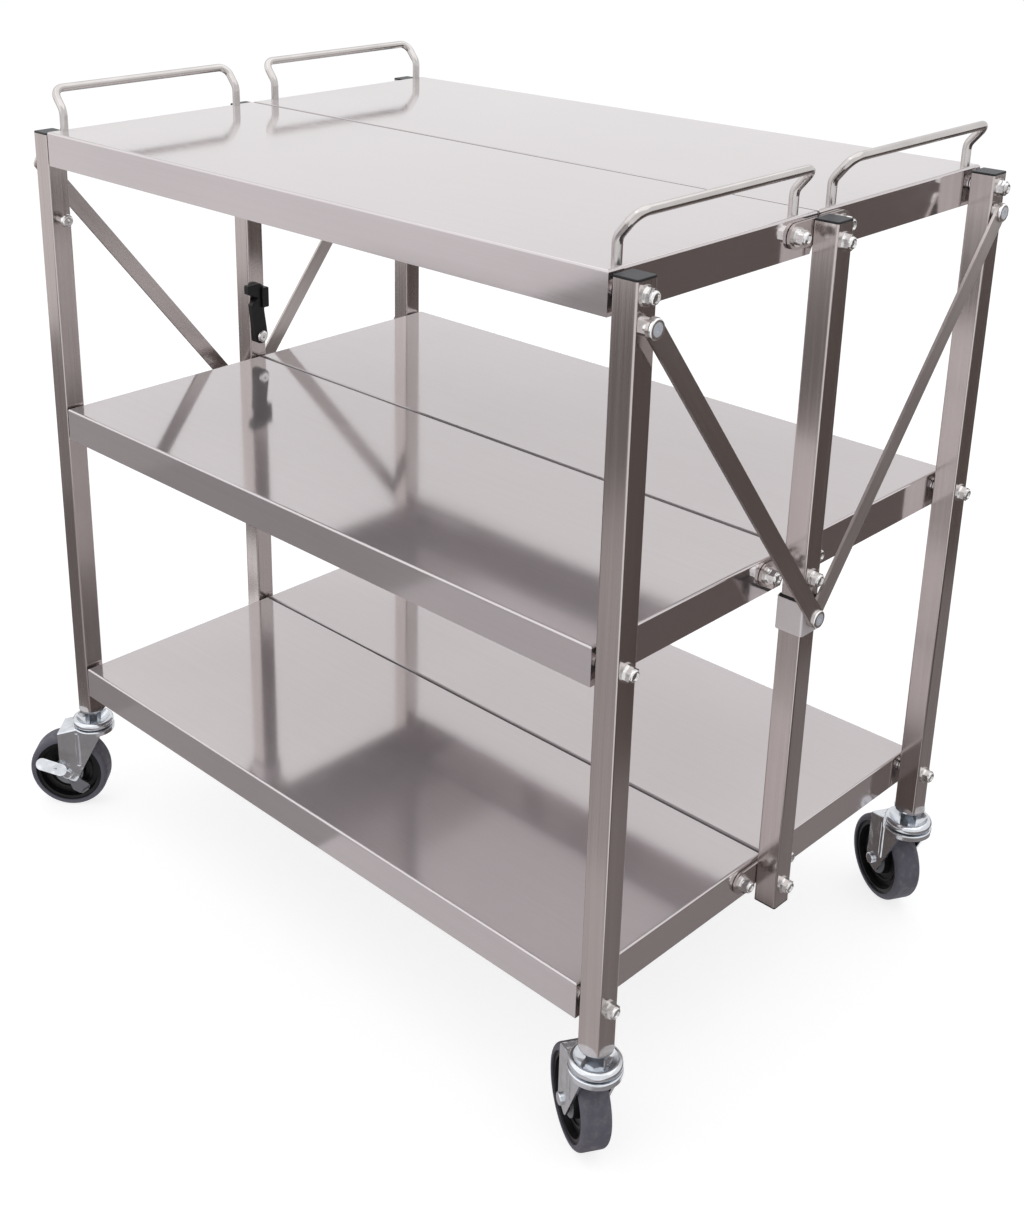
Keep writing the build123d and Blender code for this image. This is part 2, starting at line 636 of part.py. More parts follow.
def caster_head():
    """Stem, hexagon, rolled ring with a dish, and king pin, which stay still on the post."""
    rim = RING / 2 - RING_ROLL
    dish_z = RING_UNDER + DISH_FLOOR_HEIGHT
    middle = (rim + DISH_FLOOR / 2) / 2
    sag_z = (RING_TOP + dish_z) / 2 - DISH_SAG
    section = make_face(
        [
            Line((0, 0, RING_UNDER), (rim, 0, RING_UNDER)),
            ThreePointArc(
                (rim, 0, RING_UNDER), (RING / 2, 0, RING_UNDER + RING_HEIGHT / 2), (rim, 0, RING_TOP)
            ),
            ThreePointArc((rim, 0, RING_TOP), (middle, 0, sag_z), (DISH_FLOOR / 2, 0, dish_z)),
            Line((DISH_FLOOR / 2, 0, dish_z), (0, 0, dish_z)),
            Line((0, 0, dish_z), (0, 0, RING_UNDER)),
        ]
    )
    stem_hexagon = Pos(0, 0, dish_z) * RegularPolygon(STEM_FLATS / 2, 6, major_radius=False)
    collar_z = STEM_SHOULDER - STEM_COLLAR_HEIGHT
    head = revolve(section, Axis.Z) + extrude(stem_hexagon, collar_z - dish_z)
    head += rod_z(STEM_COLLAR, collar_z, STEM_SHOULDER)
    head += rod_z(STEM, STEM_SHOULDER, STEM_SHOULDER + STEM_DEPTH)
    rivet_top = CROWN_TOP - FORK_SHEET - SWIVEL_GAP
    head += rod_z(KING_PIN, rivet_top, RING_UNDER)
    return head + rod_z(KING_RIVET, rivet_top - KING_RIVET_THICK, rivet_top)


def fork_cheek(side):
    """One leg of the fork with its pressed rib; side is -1 or 1."""
    edge = TRAIL + FORK_EDGE
    heel = (edge, AXLE_Z - FORK_HEEL_DROP)
    tip = (TRAIL - FORK_TIP_AHEAD, AXLE_Z - FORK_TIP_DROP)
    outline = make_face(
        Polyline(
            (-FORK_TOE, CROWN_TOP),
            (FORK_LEVEL, CROWN_TOP),
            (edge, CROWN_TOP - FORK_SLOPE),
            heel,
            tip,
            (-FORK_TOE, CROWN_UNDER),
            close=True,
        )
    )
    corners = outline.vertices().sort_by(Axis.Y)
    outline = fillet(corners[0], FORK_TIP_ROUND)
    heel_corner = outline.vertices().sort_by_distance((*heel, 0))[0]
    outline = fillet(heel_corner, FORK_HEEL_ROUND)
    seat = Plane(origin=(0, FORK_IN, 0), x_dir=(1, 0, 0), z_dir=(0, -1, 0))
    cheek = extrude(seat * outline, -FORK_SHEET)
    outside = cheek.faces().sort_by(Axis.Y)[-1].edges()
    above = [e for e in outside if e.center().Z > CROWN_TOP - FORK_SLOPE]
    cheek = fillet([e for e in above if e.center().X > -FORK_TOE + SHEET], FORK_BEND)
    rib_x = TRAIL - RIB_AHEAD
    rib_y = FORK_OUT + RIB_PROUD - RIB / 2
    rib_top = CROWN_TOP - FORK_CROWN
    rib = rod_z(RIB, rib_top - RIB_LENGTH, rib_top, rib_x, rib_y)
    rib += Pos(rib_x, rib_y, rib_top - RIB_LENGTH) * Sphere(RIB / 2)
    cheek += rib & block(rib_x - RIB, rib_x + RIB, FORK_IN, FORK_OUT + RIB, AXLE_Z, CROWN_TOP)
    return cheek if side > 0 else far(cheek)


def fork():
    """Crown and two legs, bent from one sheet, with a deck that slopes down behind, trailing along +X."""
    edge = TRAIL + FORK_EDGE
    deck_z = CROWN_TOP - FORK_SHEET
    crown = rod_z(CROWN_DISC, CROWN_UNDER, CROWN_TOP)
    crown = fillet(crown.faces().sort_by(Axis.Z)[-1].edges(), CROWN_ROUND)
    half = FORK_OUT - FORK_BEND
    roof = make_face(
        Polyline(
            (0, -half, CROWN_TOP),
            (FORK_LEVEL, -half, CROWN_TOP),
            (edge, -half, CROWN_TOP - FORK_SLOPE),
            (edge, -half, deck_z - FORK_SLOPE),
            (FORK_LEVEL, -half, deck_z),
            (0, -half, deck_z),
            close=True,
        )
    )
    body = crown + extrude(roof, 2 * half, dir=(0, 1, 0))
    body += fork_cheek(-1)
    body += fork_cheek(1)
    body -= rod_z(CROWN_DISC - 2 * FORK_SHEET, CROWN_UNDER - SHEET, deck_z) & block(
        -RING, RING, -FORK_IN, FORK_IN, CROWN_UNDER - SHEET, deck_z
    )
    body -= rod_y(AXLE + 2 * FIXED_CLEARANCE, -FORK_OUT - SHEET, FORK_OUT + SHEET, TRAIL, AXLE_Z)
    return body - rod_z(KING_PIN + 2 * RUNNING_CLEARANCE, CROWN_UNDER - SHEET, CROWN_TOP + SHEET)


def wheel_section(points):
    """A ring turned about the axle from (radius, y) points."""
    face = make_face(Polyline(*[(TRAIL + r, y, AXLE_Z) for r, y in points], close=True))
    return revolve(face, Axis((TRAIL, 0, AXLE_Z), (0, 1, 0)))


def tyre():
    """The rubber tyre, with rounded shoulders."""
    half = WHEEL_WIDTH / 2
    bore = CORE / 2 + BOND_GAP
    ring = wheel_section([(bore, -half), (WHEEL / 2, -half), (WHEEL / 2, half), (bore, half)])
    circles = ring.edges().filter_by(GeomType.CIRCLE)
    shoulders = [e for e in circles if e.radius > WHEEL / 2 - FIXED_CLEARANCE]
    return fillet(shoulders, TYRE_SHOULDER)


def wheel_core():
    """The moulded core: rim, thin web with a ring bead, and hub."""
    rim = CORE / 2
    rim_in = rim - CORE_RIM
    hub = HUB / 2
    bore = AXLE / 2 + RUNNING_CLEARANCE
    half = CORE_WIDTH / 2
    web = CORE_WEB / 2
    bead = web + CORE_BEAD_HEIGHT
    bead_in = CORE_BEAD / 2 - CORE_BEAD_WIDTH / 2
    bead_out = CORE_BEAD / 2 + CORE_BEAD_WIDTH / 2
    side = [
        (bore, FORK_IN - HUB_SIDE_GAP),
        (hub, FORK_IN - HUB_SIDE_GAP),
        (hub + CORE_DRAFT, web),
        (bead_in, web),
        (bead_in, bead),
        (bead_out, bead),
        (bead_out, web),
        (rim_in - CORE_DRAFT, web),
        (rim_in, half),
        (rim, half),
    ]
    return wheel_section(side + [(r, -y) for r, y in reversed(side)])


def axle():
    """The axle bolt with a round head outside each leg."""
    body = rod_y(AXLE, -FORK_OUT, FORK_OUT, TRAIL, AXLE_Z)
    for y0, y1 in ((-FORK_OUT - AXLE_HEAD_THICK, -FORK_OUT), (FORK_OUT, FORK_OUT + AXLE_HEAD_THICK)):
        body += rod_y(AXLE_HEAD, y0, y1, TRAIL, AXLE_Z)
    ends = [body.faces().sort_by(Axis.Y)[0], body.faces().sort_by(Axis.Y)[-1]]
    return fillet([edge for face in ends for edge in face.edges()], AXLE_HEAD_THICK / 2)


def brake_lever():
    """The stamped brake lever between leg and wheel: a blade below, and a flared pedal behind the leg."""
    y1 = FORK_IN - LEVER_SIDE_GAP
    y0 = y1 - LEVER_SHEET
    outline = make_face(
        Polyline(
            (LEVER_BOSS / 2, 0),
            (-BLADE_BACK, -BLADE_DROP + BLADE_BACK),
            (-BLADE_WIDTH, -BLADE_DROP),
            (-BLADE_AHEAD, -BLADE_TOE_DROP),
            (-BLADE_WIDTH, -BLADE_TOE_DROP / 2),
            (-LEVER_BOSS, 0),
            close=True,
        )
    )
    low = [v for v in outline.vertices() if v.Y < -BLADE_TOE_DROP / 2 - FIXED_CLEARANCE]
    outline = fillet(low, BLADE_ROUND)
    outline += Circle(LEVER_BOSS)
    neck_far = FORK_EDGE + PEDAL_WIDTH
    outline += Pos(neck_far / 2, PEDAL_LIFT / 2) * Rectangle(neck_far, PEDAL_LIFT)
    seat = Plane(origin=(TRAIL, y0, AXLE_Z), x_dir=(1, 0, 0), z_dir=(0, -1, 0))
    lever = extrude(seat * outline, -LEVER_SHEET)
    neck_x = TRAIL + FORK_EDGE + SHEET
    pedal_y = FORK_OUT + PEDAL_OUT
    neck_z = AXLE_Z + PEDAL_LIFT - LEVER_SHEET
    neck_end = pedal_y + LEVER_SHEET
    lever += block(neck_x, TRAIL + neck_far, y0, neck_end, neck_z, neck_z + LEVER_SHEET)
    paddle = extrude(SlotOverall(PEDAL_LENGTH, PEDAL_WIDTH), LEVER_SHEET)
    paddle = Rot(-PEDAL_TILT, 0, 0) * paddle
    paddle = Pos(TRAIL + PEDAL_BEHIND, pedal_y, AXLE_Z + PEDAL_LIFT) * Rot(0, -PEDAL_RISE, 0) * paddle
    lever += paddle
    toe_run = hypot(BLADE_AHEAD - BLADE_WIDTH, BLADE_DROP - BLADE_TOE_DROP) - 2 * BLADE_ROUND
    toe_slope = degrees(atan2(BLADE_DROP - BLADE_TOE_DROP, BLADE_AHEAD - BLADE_WIDTH))
    toe = Pos(0, TOE_LIP / 2, LEVER_SHEET / 2) * Box(toe_run, TOE_LIP, LEVER_SHEET)
    toe_x = TRAIL - (BLADE_AHEAD + BLADE_WIDTH) / 2
    toe_z = AXLE_Z - (BLADE_DROP + BLADE_TOE_DROP) / 2
    lever += Pos(toe_x, y0, toe_z) * Rot(0, toe_slope, 0) * toe
    return lever - rod_y(AXLE + 2 * RUNNING_CLEARANCE, y0 - SHEET, y1 + SHEET, TRAIL, AXLE_Z)


def caster_place(corner):
    """The swivel axis and turn of one caster."""
    x = POST_X if "front" in corner else -POST_X
    y = -POST_Y if "near" in corner else POST_Y
    return Pos(x, y, 0), Rot(0, 0, CASTER_TURN[corner])


def trolley():
    """Every node of the trolley, each a list of separate solids."""
    nodes = {}
    for level in LEVELS:
        tray = near_tray(level)
        nodes[f"near_{level}_tray"] = [tray]
        nodes[f"far_{level}_tray"] = [far(tray)]
    handle = near_handle()
    nodes["near_handles"] = both_ends([handle])
    nodes["far_handles"] = [far(piece) for piece in nodes["near_handles"]]
    nodes["near_handle_screws"] = handle_screws()
    nodes["far_handle_screws"] = [far(piece) for piece in nodes["near_handle_screws"]]
    nodes["near_front_post"] = [near_post()]
    nodes["near_rear_post"] = [near_rear_post()]
    nodes["far_front_post"] = [far(near_post())]
    nodes["far_rear_post"] = [far(rear(near_post()))]
    nodes["front_centre_post"] = [centre_post()]
    nodes["rear_centre_post"] = [rear_centre_post()]
    nodes["near_post_caps"] = both_ends([post_cap(POST_X, -POST_Y, CORNER_TOP, True)])
    nodes["far_post_caps"] = [far(piece) for piece in nodes["near_post_caps"]]
    nodes["centre_post_caps"] = both_ends(
        [post_cap(POST_X, 0, CENTRE_TOP, True), post_cap(POST_X, 0, CENTRE_FOOT, False)]
    )
    nodes["near_pivot_fasteners"] = near_pivots()
    nodes["far_pivot_fasteners"] = [far(piece) for piece in nodes["near_pivot_fasteners"]]
    nodes["hinge_plates"] = hinge_plates()
    nodes["hinge_pivot_fasteners"] = inner_pivots()
    nodes["hinge_plate_fasteners"] = plate_bolts()
    nodes["near_brace_pivots"] = brace_pivots(NEAR_BRACE_X)
    nodes["far_brace_pivots"] = [far(piece) for piece in brace_pivots(FAR_BRACE_X)]
    near_bar = near_brace(NEAR_BRACE_X)
    far_bar = far(near_brace(FAR_BRACE_X))
    nodes["near_front_brace"] = [near_bar]
    nodes["near_rear_brace"] = [rear(near_bar)]
    nodes["far_front_brace"] = [far_bar]
    nodes["far_rear_brace"] = [rear(far_bar)]
    nodes["brace_pins"] = brace_pins()
    nodes["sleeves"] = both_ends([sleeve()])
    nodes["sleeve_liners"] = both_ends([sleeve_liner()])
    nodes["latch"] = [latch()]
    nodes["latch_screw"] = [latch_screw()]
    nodes["latch_peg"] = [peg()]
    inserts = {"near": [], "far": []}
    for corner in CASTER_TURN:
        place, turn = caster_place(corner)
        inserts[corner.split("_")[0]].append(place * post_insert())
        nodes[f"{corner}_caster_head"] = [place * caster_head()]
        nodes[f"{corner}_caster_fork"] = [place * turn * fork()]
        nodes[f"{corner}_caster_axle"] = [place * turn * axle()]
        nodes[f"{corner}_wheel_core"] = [place * turn * wheel_core()]
        nodes[f"{corner}_tyre"] = [place * turn * tyre()]
        if corner in BRAKED:
            nodes[f"{corner}_brake_lever"] = [place * turn * brake_lever()]
    nodes["near_post_inserts"] = inserts["near"]
    nodes["far_post_inserts"] = inserts["far"]
    return nodes


def floor_centre(nodes):
    """The middle of the whole trolley's outline on the floor."""
    box = Compound([piece for pieces in nodes.values() for piece in pieces]).bounding_box()
    return (box.min.X + box.max.X) / 2, (box.min.Y + box.max.Y) / 2


def main():
    """Write every node, with the origin on the floor under the middle of the trolley."""
    nodes = trolley()
    centre_x, centre_y = floor_centre(nodes)
    print("trolley centre", centre_x, centre_y)
    os.makedirs("parts", exist_ok=True)
    for name, pieces in nodes.items():
        placed = [Pos(-centre_x, -centre_y, 0) * piece for piece in pieces]
        shape = placed[0] if len(placed) == 1 else Compound(children=placed)
        export_step(shape, f"parts/{name}.step")


main()
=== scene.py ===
import json
from math import atan2

import bpy
from mathutils import Matrix, Vector


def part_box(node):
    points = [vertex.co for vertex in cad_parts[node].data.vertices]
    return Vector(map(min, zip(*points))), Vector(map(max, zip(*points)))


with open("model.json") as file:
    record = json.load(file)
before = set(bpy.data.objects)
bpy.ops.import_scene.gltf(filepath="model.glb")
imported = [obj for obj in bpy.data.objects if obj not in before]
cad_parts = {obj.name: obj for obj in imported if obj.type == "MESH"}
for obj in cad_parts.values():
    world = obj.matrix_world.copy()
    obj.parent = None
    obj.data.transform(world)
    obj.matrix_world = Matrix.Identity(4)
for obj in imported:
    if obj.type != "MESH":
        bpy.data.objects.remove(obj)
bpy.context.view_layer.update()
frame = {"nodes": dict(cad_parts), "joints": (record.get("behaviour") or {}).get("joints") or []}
nodes = frame["nodes"]
joints = {joint["name"]: joint for joint in frame["joints"]}

# The middle of the trolley, half way between its two centre posts
front_low, front_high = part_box("front_centre_post")
rear_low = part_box("rear_centre_post")[0]
MIDDLE = Vector(((front_high.x + rear_low.x) / 2, (front_low.y + front_high.y) / 2, 0))

# Colours of the steel
SHEET_TONE = (0.705, 0.656, 0.66)
SHEET_DARK = (0.575, 0.535, 0.54)
# Painted shade for the gap between two trays, laid on the bends at the seam
SEAM_GAP_SHADE = (0.08, 0.075, 0.075)
TUBE_TONE = (0.60, 0.552, 0.54)
TUBE_DARK = (0.43, 0.393, 0.383)
SLEEVE_TONE = (0.82, 0.78, 0.775)
ROD_TONE = (0.66, 0.635, 0.625)
ROD_DARK = (0.42, 0.395, 0.385)
FASTENER_TONE = (0.80, 0.795, 0.795)
FASTENER_DULL = (0.52, 0.515, 0.51)
HEAD_MIDDLE = (0.70, 0.73, 0.77)
HEAD_RIM = (0.86, 0.86, 0.86)

# Colours of the casters
ZINC_TONE = (0.80, 0.825, 0.86)
ZINC_DARK = (0.56, 0.585, 0.625)
ZINC_TARNISH = (0.44, 0.435, 0.43)
LEVER_DARK = (0.13, 0.13, 0.14)
TYRE_TONE = (0.150, 0.142, 0.172)
TYRE_DARK = (0.110, 0.104, 0.130)
# A little dust and a painted sheen, both on the tread
TYRE_DUST_AND_SHEEN = (0.21, 0.205, 0.21)
CORE_TONE = (0.012, 0.012, 0.013)
CORE_DARK = (0.004, 0.004, 0.005)
HUB_TONE = (0.26, 0.27, 0.28)

# Colours of the other plastic pieces
CAP_TONE = (0.046, 0.048, 0.056)
CAP_DARK = (0.030, 0.032, 0.038)
# Painted shade on the caps' sides and edges, darker than their tops
CAP_SIDE_SHADE = (0.012, 0.012, 0.014)
NYLON_TONE = (0.015, 0.015, 0.016)
NYLON_DARK = (0.006, 0.006, 0.007)

# How much of the steel is a milky veil, from 0 to 1, and how much less of it the end faces have
SHEET_VEIL = 0.36
SLEEVE_VEIL = 0.62
TUBE_VEIL = 0.05
END_CLEARNESS = 0.8

# The plain roughness of the steel
SHEET_DULL = 0.085
TUBE_DULL = 0.16
PLATE_DULL = 0.20
SLEEVE_DULL = 0.32
NEAR_BAR_DULL = 0.22
FAR_BAR_DULL = 0.40

# Brush lines: their sizes along X, Y and Z in metres, their strength, and how much larger streaks are
SHEET_LINES = (0.24, 0.0007, 0.0007)
SHEET_END_LINES = (0.0007, 0.24, 0.0007)
ACROSS_LINES = (0.0006, 0.06, 0.0006)
POST_LINES = (0.0014, 0.0014, 0.20)
BAR_LINES = (0.0014, 0.0014, 0.16)
STRONG_BRUSH = 0.8
FAINT_BRUSH = 0.4
BROAD_STREAK = 6

# How deep the bumps of a finish are, in metres
BRUSH_RELIEF = 0.000005
ROD_RELIEF = 0.00001
FASTENER_RELIEF = 0.00002
ZINC_RELIEF = 0.0012
TYRE_RELIEF = 0.00006
CORE_RELIEF = 0.00005
PLASTIC_RELIEF = 0.00004

# How squarely a face has to look along an axis, where it begins to count and where it counts in full
TRAY_END_FACING = (0.6, 0.8)
SEAM_FLANGE_FACING = (0.93, 0.99)
LEVER_BLADE_FACING = (0.75, 0.9)
CAP_TOP_FACING = (0.80, 0.97)

# Where a finish goes over into another, in metres: from the seam, from an axis, or below an axle
SEAM_BEND = (0.0010, 0.0024)
HEAD_FLAT = (0.0052, 0.0066)
TYRE_TREAD = (0.0475, 0.0495)
CORE_HUB = (0.0186, 0.0192)
LEVER_BLADE = (-0.009, -0.004)

# Turning lines of the wheel cores, in radians a metre: one line every 1.5 mm
TURNING_LINES = 4200.0

# Sizes that flatten one direction, so that only the distance from that axis is left
FLAT_X = (1e6, 1, 1)
FLAT_Y = (1, 1e6, 1)

# Sockets of a Mix node that mixes colours
MIX_SHARE = 0
MIX_FIRST = 6
MIX_SECOND = 7


class Wire:
    """An output of a shader node. Arithmetic on it adds Math nodes."""

    def __init__(self, nodes_of, socket):
        self.nodes_of = nodes_of
        self.socket = socket

    def out(self, name):
        """Another output of the same node."""
        return Wire(self.nodes_of, self.socket.node.outputs[name])

    def math(self, operation, first, second=0.0):
        return self.nodes_of.add("Math", {"operation": operation}, {0: first, 1: second})

    def __add__(self, other):
        return self.math("ADD", self, other)

    def __radd__(self, other):
        return self.math("ADD", other, self)

    def __sub__(self, other):
        return self.math("SUBTRACT", self, other)

    def __rsub__(self, other):
        return self.math("SUBTRACT", other, self)

    def __mul__(self, other):
        return self.math("MULTIPLY", self, other)

    def __abs__(self):
        return self.math("ABSOLUTE", self)

    def larger(self, other):
        return self.math("MAXIMUM", self, other)

    def step(self, low, high):
        """0 below low, 1 above high, smooth between them."""
        sockets = {"Value": self, "From Min": low, "From Max": high}
        return self.nodes_of.add("MapRange", {"interpolation_type": "SMOOTHSTEP"}, sockets)


class Nodes:
    """A node tree that is filled in code."""

    def __init__(self, tree):
        self.tree = tree

    def add(self, kind, settings=None, sockets=None):
        """One node: its settings first, then the values or links of its sockets."""
        node = self.tree.nodes.new("ShaderNode" + kind)
        for name, value in (settings or {}).items():
            setattr(node, name, value)
        for name, value in (sockets or {}).items():
            self.join(value, node.inputs[name])
        return Wire(self, next(output for output in node.outputs if output.enabled))

    def join(self, value, socket):
        """Link a wire to a socket, or set the socket to a value."""
        if isinstance(value, Wire):
            self.tree.links.new(value.socket, socket)
        elif isinstance(value, tuple) and socket.type == "RGBA":
            socket.default_value = (*value, 1.0)
        else:
            socket.default_value = value

    def mix(self, first, second, share):
        """A colour between two colours."""
        sockets = {MIX_SHARE: share, MIX_FIRST: first, MIX_SECOND: second}
        return self.add("Mix", {"data_type": "RGBA"}, sockets)

    def seen(self):
        """1 where the camera sees the surface, straight or through metal and glass."""
        path = self.add("LightPath").out("Is Camera Ray")
        return path.larger(path.out("Is Glossy Ray")).larger(path.out("Is Transmission Ray"))


class Finish(Nodes):
    """A procedural material round one Principled shader."""

    def __init__(self, name, constants):
        self.material = bpy.data.materials.new(name)
        self.material.use_nodes = True
        super().__init__(self.material.node_tree)
        self.shader = self.tree.nodes["Principled BSDF"]
        for socket, value in constants.items():
            self.join(value, self.shader.inputs[socket])

    def place(self, at=(0, 0, 0), turn=(0, 0, 0), size=(1, 1, 1)):
        """The piece's own coordinates, from a point, turned, and counted in a size."""
        here = self.add("TexCoord").out("Object")
        sockets = {"Vector": here, "Location": at, "Rotation": turn, "Scale": size}
        return self.add("Mapping", {"vector_type": "TEXTURE"}, sockets)

    def from_axis(self, at, turn, flat):
        """How far the surface is from an axis through a point."""
        beside = self.place(at, turn, flat)
        return self.add("VectorMath", {"operation": "LENGTH"}, {0: beside}).out("Value")

    def noise(self, size, turn=(0, 0, 0), detail=2.0, rough=0.5):
        """Noise whose features have a size in metres along each direction."""
        sockets = {
            "Vector": self.place(turn=turn, size=size),
            "Scale": 1.0,
            "Detail": detail,
            "Roughness": rough,
        }
        return self.add("TexNoise", None, sockets)

    def speckle(self, size, detail=2.0, rough=0.5):
        """Noise whose features have the same size in metres along all directions."""
        return self.noise((size, size, size), detail=detail, rough=rough)

    def axis(self, name, vector):
        """One of a vector's X, Y and Z."""
        return self.add("SeparateXYZ", None, {0: vector}).out(name)

    def facing(self, name):
        """How far the surface looks along one of X, Y and Z, from -1 to 1."""
        return self.axis(name, self.add("TexCoord").out("Normal"))

    def metal(self, share):
        """Let the share of metal change over the surface."""
        self.join(share, self.shader.inputs["Metallic"])

    def paint(self, colour, roughness, height, relief):
        """Link colour, roughness and a bump of some metres to the shader."""
        self.join(colour, self.shader.inputs["Base Color"])
        self.join(roughness, self.shader.inputs["Roughness"])
        bump = self.add("Bump", None, {"Strength": 1.0, "Distance": relief, "Height": height})
        self.join(bump, self.shader.inputs["Normal"])
        return self.material


def brushed_steel(
    name, tone, dark, dull, veil, along, across_ends=None, turn=(0, 0, 0), seam=None, brush=STRONG_BRUSH
):
    """Stainless steel with fine brush lines under a milky veil.

    End faces can be brushed the other way and clearer, and the bends at a seam get a painted shade for
    the gap between the trays.
    """
    steel = Finish(name, {"Metallic": 1.0 - veil})
    lines = steel.noise(along, turn)
    broad = steel.noise(tuple(BROAD_STREAK * size for size in along), turn)
    if across_ends:
        end = abs(steel.facing("X")).step(*TRAY_END_FACING)
        lines = lines + (steel.noise(across_ends, turn) - lines) * end
        steel.metal(1 - veil + end * veil * END_CLEARNESS)
    cloud = steel.speckle(0.22)
    smear = steel.speckle(0.07, 3.0, 0.6).step(0.55, 0.75)
    share = (lines - 0.5) * brush + (broad - 0.5) * 0.6 * brush + (cloud - 0.5) * 0.5 + 0.6
    colour = steel.mix(dark, tone, share)
    # Painted shade: the bends beside the seam are darkened where the gap between the trays lies in
    # shade
    if seam is not None:
        across = abs(steel.axis("Y", steel.place((0, seam, 0))))
        flat = abs(steel.facing("Y")).step(*SEAM_FLANGE_FACING)
        colour = steel.mix(SEAM_GAP_SHADE, colour, across.step(*SEAM_BEND).larger(flat))
    roughness = (lines - 0.5) * 0.09 + (cloud - 0.5) * 0.05 + smear * 0.02 + dull
    return steel.paint(colour, roughness, lines, BRUSH_RELIEF)


def polished_rod():
    """Drawn and polished stainless rod, with faint draw marks."""
    rod = Finish("polished_rod", {"Metallic": 1.0})
    marks = rod.noise((0.004, 0.03, 0.004), detail=3.0)
    cloud = rod.noise((0.02, 0.05, 0.02))
    colour = rod.mix(ROD_DARK, ROD_TONE, cloud)
    return rod.paint(colour, (marks - 0.5) * 0.12 + 0.18, marks, ROD_RELIEF)


def bright_fastener():
    """Bright turned nuts, washers and bolts with a few wrench marks."""
    bright = Finish("bright_fastener", {"Metallic": 1.0})
    marks = bright.speckle(0.0016, 3.0)
    dull = bright.speckle(0.006).step(0.48, 0.7)
    colour = bright.mix(FASTENER_TONE, FASTENER_DULL, dull)
    return bright.paint(colour, marks * 0.10 + dull * 0.14 + 0.10, marks, FASTENER_RELIEF)


def brace_head(node):
    """A low bright head whose flat middle is satin and bluish."""
    low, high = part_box(node)
    at = (0, (low.y + high.y) / 2, (low.z + high.z) / 2)
    head = Finish(f"{node}_steel", {})
    rim = head.from_axis(at, (0, 0, 0), FLAT_X).step(*HEAD_FLAT)
    head.metal(rim * 0.6 + 0.4)
    marks = head.speckle(0.002, 3.0)
    colour = head.mix(HEAD_MIDDLE, HEAD_RIM, rim)
    return head.paint(colour, marks * 0.10 + 0.30 - rim * 0.16, marks, FASTENER_RELIEF)


def zinc_plate(name, lever_corner=None):
    """Zinc-plated pressed steel, bluish and bright; a brake lever's blade is dark on its flat faces
    below the axle.
    """
    zinc = Finish(name, {"Metallic": 0.93})
    cloud = zinc.speckle(0.012, 4.0, 0.6)
    grain = zinc.speckle(0.0012)
    tarnish = zinc.speckle(0.03, 3.0).step(0.52, 0.75)
    wave = zinc.speckle(0.016, 1.0)
    colour = zinc.mix(ZINC_DARK, ZINC_TONE, cloud)
    colour = zinc.mix(colour, ZINC_TARNISH, tarnish * 0.6)
    if lever_corner:
        joint = joints[f"{lever_corner}_roll"]
        drop = zinc.axis("Z", zinc.place(tuple(joint["pos_m"])))
        normal = zinc.add("TexCoord").out("Normal")
        sockets = {0: normal, 1: tuple(joint["axis"])}
        along = zinc.add("VectorMath", {"operation": "DOT_PRODUCT"}, sockets)
        flat = abs(along.out("Value")).step(*LEVER_BLADE_FACING)
        # The blade's flat faces below the axle are coloured dark
        colour = zinc.mix(colour, LEVER_DARK, flat * (1 - drop.step(*LEVER_BLADE)))
    roughness = grain * 0.06 + tarnish * 0.10 + 0.12
    return zinc.paint(colour, roughness, wave + grain * 0.01, ZINC_RELIEF)


def from_axle(finish, corner):
    """How far the surface of a wheel is from its axle."""
    joint = joints[f"{corner}_roll"]
    across = Vector(joint["axis"])
    turn = (0, 0, atan2(-across.x, across.y))
    return finish.from_axis(tuple(joint["pos_m"]), turn, FLAT_Y)


def grey_tyre(corner):
    """Grey rubber with a fine moulded grain, and a little dust and a painted sheen on the tread."""
    rubber = Finish(f"{corner}_tyre_rubber", {"Specular IOR Level": 0.4})
    tread = from_axle(rubber, corner).step(*TYRE_TREAD)
    grain = rubber.speckle(0.0012, 3.0)
    scuff = rubber.speckle(0.008, 4.0, 0.65)
    colour = rubber.mix(TYRE_DARK, TYRE_TONE, scuff)
    # The tread is painted lighter in patches: dust and a painted sheen
    colour = rubber.mix(colour, TYRE_DUST_AND_SHEEN, tread * scuff.step(0.45, 0.7) * 0.6)
    return rubber.paint(colour, grain * 0.14 + tread * 0.12 + 0.48, grain + scuff, TYRE_RELIEF)


def black_core(corner):
    """Black moulded wheel core with turning lines and a grey hub."""
    core = Finish(f"{corner}_core_plastic", {"Specular IOR Level": 0.25})
    radius = from_axle(core, corner)
    hub = 1 - radius.step(*CORE_HUB)
    rings = core.add("Math", {"operation": "SINE"}, {0: radius * TURNING_LINES})
    grain = core.speckle(0.0010)
    cloud = core.speckle(0.01, 3.0)
    colour = core.mix(CORE_DARK, CORE_TONE, cloud)
    colour = core.mix(colour, HUB_TONE, hub)
    roughness = grain * 0.14 + hub * 0.12 + 0.30
    return core.paint(colour, roughness, rings * 0.5 + grain, CORE_RELIEF)


def cap_plastic():
    """Moulded caps: a dark grey top face, sides and edges painted darker as painted shade, and a fine
    grain.
    """
    cap = Finish("cap_plastic", {"Specular IOR Level": 0.3})
    grain = cap.speckle(0.0009)
    cloud = cap.speckle(0.012, 3.0)
    top = abs(cap.facing("Z")).step(*CAP_TOP_FACING)
    face = cap.mix(CAP_DARK, CAP_TONE, cloud)
    # Painted shade: faces that do not look up get the darker side colour
    colour = cap.mix(CAP_SIDE_SHADE, face, top)
    return cap.paint(colour, grain * 0.14 + 0.38, grain, PLASTIC_RELIEF)


